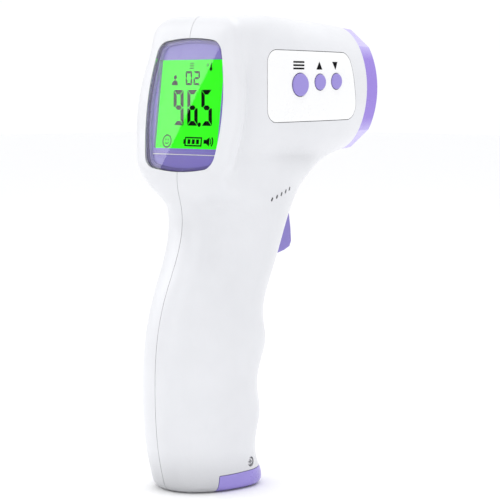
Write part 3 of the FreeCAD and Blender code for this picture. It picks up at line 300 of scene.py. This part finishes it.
# The nose ring carries a painted sheen on its upper and lower faces and painted shade on its upright sides.
OWN_LOOKS = {"nose_ring": ring_with_painted_sheen("nose_ring", linear(196, 186, 238), linear(150, 126, 214)),
             # Painted shade: the trigger gets a darker copy of the lilac plastic, with stronger seam shade.
             "trigger": moulded("trigger_shaded_lilac", linear(134, 122, 194), rough=0.3, tint=0.04, seam_shade=0.45),
             "door_lock_screw": metal("screw_zinc", (0.72, 0.72, 0.74, 1.0), 0.42, (1.0, 1.0, 1.0))}

for part in frame["record"]["subparts"]:
    made = nodes[part["node"]]
    look = OWN_LOOKS.get(part["node"], LOOKS[part["material_slot"]])
    made.data.materials.clear()
    made.data.materials.append(look.material)


# ---------------------------------------------------------------- the screen's own frame

SCREEN_TILT = math.radians(7.22)
SCREEN_UP = Vector((0.0, math.sin(SCREEN_TILT), math.cos(SCREEN_TILT)))
SCREEN_OUT = Vector((0.0, -math.cos(SCREEN_TILT), math.sin(SCREEN_TILT)))
LCD_RISE = 0.55 * MM


def lcd_face_point():
    """Middle of the display glass's front face."""
    corners = [vertex.co for vertex in nodes["lcd_glass"].data.vertices]
    outward = max(corner.dot(SCREEN_OUT) for corner in corners)
    upward = sorted(corner.dot(SCREEN_UP) for corner in corners)
    middle = (upward[0] + upward[-1]) / 2
    return SCREEN_OUT * outward + SCREEN_UP * middle


FACE = lcd_face_point()


# ---------------------------------------------------------------- flat marks

def circle(x, y, radius, steps=28):
    return [(x + radius * math.cos(2 * math.pi * k / steps), y + radius * math.sin(2 * math.pi * k / steps))
            for k in range(steps)]


def band(outer, inner):
    """Quads between two outlines with the same number of points."""
    count = len(outer)
    return [[outer[k], outer[(k + 1) % count], inner[(k + 1) % count], inner[k]] for k in range(count)]


def bar(x, y, width, height):
    return [(x - width / 2, y - height / 2), (x + width / 2, y - height / 2),
            (x + width / 2, y + height / 2), (x - width / 2, y + height / 2)]


def arc_band(x, y, inner, outer, start, end, steps=10):
    """Curved stroke between two angles, in degrees."""
    def at(radius, angle):
        return (x + radius * math.cos(angle), y + radius * math.sin(angle))
    faces = []
    for k in range(steps):
        a, b = (math.radians(start + (end - start) * (k + i) / steps) for i in (0, 1))
        faces.append([at(inner, a), at(outer, a), at(outer, b), at(inner, b)])
    return faces


def seven_segments(digit, x, y, width, height, stroke, slant=0.08):
    """Faces of a seven-segment digit centred at x, y, with mitred ends and small gaps."""
    lit = {0: "abcdef", 2: "abged", 5: "afgcd", 6: "afgcde", 9: "abcdfg"}[digit]
    w, h, s, g = width / 2, height / 2, stroke, stroke * 0.12
    shapes = {
        "a": [(-w + g, h), (w - g, h), (w - s - g, h - s), (-w + s + g, h - s)],
        "d": [(-w + s + g, -h + s), (w - s - g, -h + s), (w - g, -h), (-w + g, -h)],
        "g": [(-w + s / 2 + g, 0), (-w + s + g, s / 2), (w - s - g, s / 2), (w - s / 2 - g, 0),
              (w - s - g, -s / 2), (-w + s + g, -s / 2)],
        "f": [(-w, h - g), (-w, g), (-w + s / 2, g), (-w + s, s / 2 + g), (-w + s, h - s - g)],
        "b": [(w, h - g), (w - s, h - s - g), (w - s, s / 2 + g), (w - s / 2, g), (w, g)],
        "e": [(-w, -g), (-w, -h + g), (-w + s, -h + s + g), (-w + s, -s / 2 - g), (-w + s / 2, -g)],
        "c": [(w, -g), (w - s / 2, -g), (w - s, -s / 2 - g), (w - s, -h + s + g), (w, -h + g)],
    }
    return [[(x + px + slant * py, y + py) for px, py in shapes[name]] for name in lit]


def raised_mark(name, faces, to_place, thick, material, cuts=0):
    """Thin raised marks: flat faces, cut finer where cuts is set, thickened and then set by to_place."""
    mesh = bpy.data.meshes.new(name)
    builder = bmesh.new()
    for face in faces:
        builder.faces.new([builder.verts.new((x, y, 0.0)) for x, y in face])
    if cuts:
        bmesh.ops.triangulate(builder, faces=builder.faces)
        bmesh.ops.subdivide_edges(builder, edges=builder.edges, cuts=cuts, use_grid_fill=True)
    raised = bmesh.ops.extrude_face_region(builder, geom=list(builder.faces), use_keep_orig=True)
    for vertex in raised["geom"]:
        if isinstance(vertex, bmesh.types.BMVert):
            vertex.co.z = thick
    for vertex in builder.verts:
        vertex.co = to_place(*vertex.co)
    bmesh.ops.recalc_face_normals(builder, faces=builder.faces)
    builder.to_mesh(mesh)
    builder.free()
    piece = bpy.data.objects.new(name, mesh)
    bpy.context.scene.collection.objects.link(piece)
    mesh.materials.append(material)
    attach(piece, "body")


# ---------------------------------------------------------------- display symbols

def on_display(x, y, out):
    """A point in millimetres across and up the window, raised out of the display's glass."""
    across = Vector((x * MM, 0.0, 0.0))
    return FACE + across + SCREEN_UP * (y * MM - LCD_RISE) + SCREEN_OUT * ((out + 0.03) * MM)


def battery_icon(x, y):
    """Outlined cell lying on its side with three charge bars."""
    outline = band(bar(x, y, 7.9, 3.0), bar(x, y, 6.9, 2.1))
    return outline + [bar(x - 4.2, y, 0.7, 1.5)] + [bar(x + dx, y, 1.25, 1.5) for dx in (-2.0, 0.0, 2.0)]


def sound_icon(x, y):
    """Small loudspeaker with two waves."""
    horn = [(x - 2.4, y + 0.6), (x - 2.4, y - 0.6), (x - 1.2, y - 0.6), (x + 0.2, y - 1.45),
            (x + 0.2, y + 1.45), (x - 1.2, y + 0.6)]
    return [horn] + arc_band(x - 0.2, y, 0.9, 1.3, -50, 50) + arc_band(x - 0.2, y, 1.7, 2.2, -45, 45)


def smile_icon(x, y):
    """Plain round face: ring, two eyes and a smile."""
    faces = band(circle(x, y, 2.2), circle(x, y, 1.7))
    faces += [circle(x + dx, y + 0.5, 0.36, 12) for dx in (-0.62, 0.62)]
    return faces + arc_band(x, y + 0.15, 0.75, 1.15, 205, 335)


def degree_icon(x, y):
    """Degree ring beside a small upright thermometer: a bulb under its stem."""
    ring = band(circle(x, y, 0.55, 18), circle(x, y, 0.25, 18))
    return ring + [circle(x + 1.7, y - 1.3, 0.6, 18), bar(x + 1.7, y - 0.3, 0.5, 1.8)]


def person_icon(x, y):
    """Plain head and shoulders."""
    shoulders = [(x + 1.5 * math.cos(math.radians(a)), y - 1.5 + 1.7 * math.sin(math.radians(a)))
                 for a in range(0, 181, 15)]
    return [circle(x, y + 1.1, 0.75, 20), shoulders]


def stack_icon(x, y):
    """Stored readings: three short bars, one over another."""
    return [bar(x, y + rise, 2.2, 0.36) for rise in (-0.8, 0.0, 0.8)]


LEAN = -0.13
symbols = []
for digit, x in ((9, -5.5), (6, 1.0), (5, 7.6)):
    symbols += seven_segments(digit, x, -0.5, 4.8, 11.5, 1.5, LEAN)
symbols.append(circle(4.9, -5.9, 0.72, 18))
for digit, x in ((0, -1.85), (2, 1.85)):
    symbols += seven_segments(digit, x, 9.0, 3.1, 4.6, 0.78, LEAN)
symbols += battery_icon(2.8, -11.4) + sound_icon(10.0, -11.3) + smile_icon(-9.6, -11.4)
symbols += degree_icon(6.3, 13.2) + person_icon(-8.3, 8.2) + stack_icon(-0.9, 13.0)
raised_mark("display_symbols", symbols, on_display, 0.04, INK.material)


# ---------------------------------------------------------------- hairline rib across the bezel's lower band

tray_points = [vertex.co for vertex in nodes["display_bezel"].data.vertices]
TRAY_DEPTH = 2.35 * MM
BAND_RISE = 1.57 * MM


def on_bezel(x, y, out):
    """A point across and up the bezel's front face, raised out of it."""
    front = max(point.dot(SCREEN_OUT) for point in tray_points) + BAND_RISE - TRAY_DEPTH
    return SCREEN_OUT * (front + (out + 0.01) * MM) + SCREEN_UP * (FACE.dot(SCREEN_UP) - LCD_RISE + y * MM) \
        + Vector((x * MM, 0.0, 0.0))


raised_mark("bezel_rib", [bar(0.0, -15.7, 30.5, 0.28)], on_bezel, 0.12,
            LOOKS["panel_white"].material)


# ---------------------------------------------------------------- marks on the key panel

panel_mesh = nodes["control_panel"]
panel_tree = BVHTree.FromPolygons([vertex.co.copy() for vertex in panel_mesh.data.vertices],
                                  [list(face.vertices) for face in panel_mesh.data.polygons])


def on_panel(y, z, out):
    """A point on the panel's outer face, at y and z in millimetres, raised along X."""
    start = Vector((0.06, y * MM, z * MM))
    hit = panel_tree.ray_cast(start, Vector((-1.0, 0.0, 0.0)))[0]
    return hit + Vector(((out + 0.02) * MM, 0.0, 0.0))


marks = [bar(24.9, 136.7 + row, 5.2, 0.55) for row in (-1.05, 0.0, 1.05)]
marks.append([(34.9 - 1.45, 136.7 - 1.3), (34.9 + 1.45, 136.7 - 1.3), (34.9, 136.7 + 1.3)])
marks.append([(43.2 - 1.45, 136.7 + 1.3), (43.2, 136.7 - 1.3), (43.2 + 1.45, 136.7 + 1.3)])
raised_mark("key_marks", marks, on_panel, 0.03, INK.material, cuts=3)


# ---------------------------------------------------------------- studio

def stage_plane(name, size, location, color, rough):
    mesh = bpy.data.meshes.new(name)
    half = size / 2
    corners = [(-half, -half, 0), (half, -half, 0), (half, half, 0), (-half, half, 0)]
    mesh.from_pydata(corners, [], [(0, 1, 2, 3)])
    thing = bpy.data.objects.new(name, mesh)
    thing.location = location
    bpy.context.scene.collection.objects.link(thing)
    look = Look(name)
    look.set(Base_Color=color, Roughness=rough, Specular_IOR_Level=0.1)
    mesh.materials.append(look.material)


stage_plane("floor", 8.0, (0.0, 0.0, -0.0002), (0.97, 0.97, 0.972, 1.0), 0.9)

world = bpy.data.worlds.new("studio")
bpy.context.scene.world = world
world.use_nodes = True
world.node_tree.nodes["Background"].inputs["Color"].default_value = (0.985, 0.99, 1.0, 1.0)
world.node_tree.nodes["Background"].inputs["Strength"].default_value = 1.03

camera_data = bpy.data.cameras.new("camera")
camera_data.lens = 129.6
camera = bpy.data.objects.new("camera", camera_data)
TURN, RISE, AWAY = math.radians(45), math.radians(5), 0.6
back = Vector((math.sin(TURN) * math.cos(RISE), -math.cos(TURN) * math.cos(RISE), math.sin(RISE)))
camera.location = Vector((0.0, 0.022, 0.0756)) + back * AWAY
camera.rotation_euler = (-back).to_track_quat("-Z", "Y").to_euler()
bpy.context.scene.collection.objects.link(camera)
bpy.context.scene.camera = camera


def soft_box(name, center, side, upright, width, height, radiance):
    """Rectangular light given by its two edge directions; it shines against side x upright."""
    light = bpy.data.lights.new(name, "AREA")
    light.shape = "RECTANGLE"
    light.size = width
    light.size_y = height
    light.energy = radiance * math.pi * width * height
    thing = bpy.data.objects.new(name, light)
    facing = side.cross(upright).normalized()
    thing.matrix_world = Matrix.Translation(center) @ Matrix((side, upright, facing)).transposed().to_4x4()
    thing.visible_camera = False
    bpy.context.scene.collection.objects.link(thing)


def aimed_box(name, center, width, height, radiance):
    facing = (Vector(center) - AIM).normalized()
    side = Vector((0.0, 0.0, 1.0)).cross(facing).normalized()
    soft_box(name, Vector(center), side, facing.cross(side), width, height, radiance)


AIM = Vector((0.0, 0.02, 0.08))
aimed_box("left_key", (-0.75, -0.42, 0.42), 0.5, 0.6, 1.5)
aimed_box("top_key", (-0.05, 0.1, 0.95), 0.7, 0.7, 1.6)
aimed_box("rear_key", (0.0, -0.85, 0.4), 0.3, 0.3, 1.2)

# The window's sheen: a lamp on the side the lens mirrors, with its edge along a diagonal of the window,
# and a dark flag on the far side of that edge.
lens_front = max(vertex.co.dot(SCREEN_OUT) for vertex in nodes["display_lens"].data.vertices)
lens_middle = SCREEN_OUT * lens_front + SCREEN_UP * (FACE.dot(SCREEN_UP) - LCD_RISE)
mirrored = camera.location - SCREEN_OUT * (2 * (camera.location - lens_middle).dot(SCREEN_OUT))
REACH = 2.3


def beyond(x, y):
    """Where the lens sends a look from the camera, for a point across and up the window."""
    point = lens_middle + Vector((x * MM, 0.0, 0.0)) + SCREEN_UP * (y * MM)
    return mirrored + (point - mirrored) * REACH


edge_high, edge_low = beyond(14.2, 20.0), beyond(-9.6, -21.2)
edge = (edge_high - edge_low).normalized()
middle = (edge_high + edge_low) / 2
lit_side = beyond(-17.0, 10.0) - middle
lit_side = (lit_side - edge * lit_side.dot(edge)).normalized()
facing_lens = 1 if lit_side.cross(edge).dot(middle - lens_middle) > 0 else -1
soft_box("sheen_lamp", middle + lit_side * 0.14, lit_side * facing_lens, edge, 0.28, 0.34, 0.25)

flag_mesh = bpy.data.meshes.new("flag")
flag_far = middle - lit_side * 0.3
flag_side = edge * 0.25
flag_corners = [middle + flag_side, middle - flag_side, flag_far - flag_side, flag_far + flag_side]
flag_mesh.from_pydata(flag_corners, [], [(0, 1, 2, 3)])
flag = bpy.data.objects.new("flag", flag_mesh)
flag.visible_camera = False
bpy.context.scene.collection.objects.link(flag)
flag_look = Look("flag_cloth")
flag_look.set(Base_Color=(0.01, 0.01, 0.012, 1.0), Roughness=1.0)
flag_mesh.materials.append(flag_look.material)
bpy.context.scene.view_settings.view_transform = "Standard"
